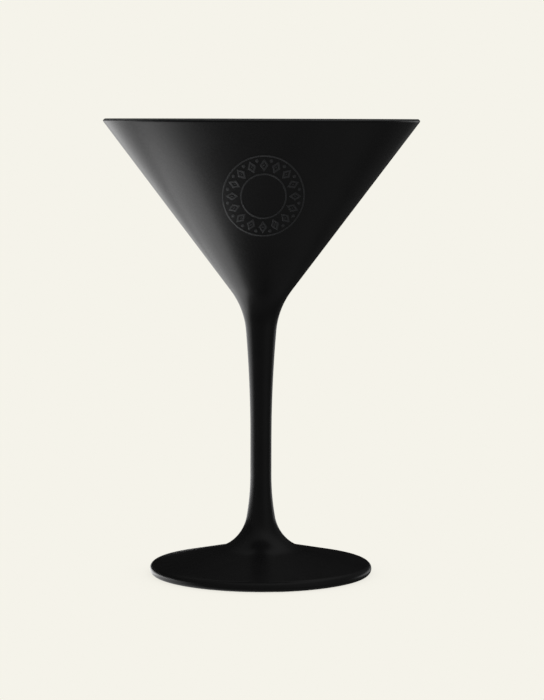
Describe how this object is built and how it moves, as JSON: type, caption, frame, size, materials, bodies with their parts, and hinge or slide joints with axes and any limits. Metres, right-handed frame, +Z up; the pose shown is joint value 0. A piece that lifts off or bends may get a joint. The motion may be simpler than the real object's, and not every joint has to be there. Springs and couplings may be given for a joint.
{
  "type": "martini glass",
  "caption": "Stemmed cocktail glass with a conical bowl, slim tapering stem and round sloping foot, black lacquer outside, bare glass inside, and a tonal geometric ring print.",
  "frame": {"origin": "centre of the foot's standing ring, on the table", "axes": "+Z up the glass's axis; -Y is the front, where the printed ring is; +X is to the right of a viewer at the front"},
  "size_m": [0.1154, 0.1154, 0.1675],
  "materials": {
    "clear_glass": "clear, fire-polished",
    "black_lacquer": "satin black sprayed lacquer",
    "ring_print": "tonal dark grey matt print"
  },
  "bodies": {
    "root": {"bowl": "clear_glass", "stem": "clear_glass", "foot": "clear_glass", "bowl_lacquer": "black_lacquer", "stem_lacquer": "black_lacquer", "foot_lacquer": "black_lacquer", "printed_ring": "ring_print"}
  },
  "joints": []
}
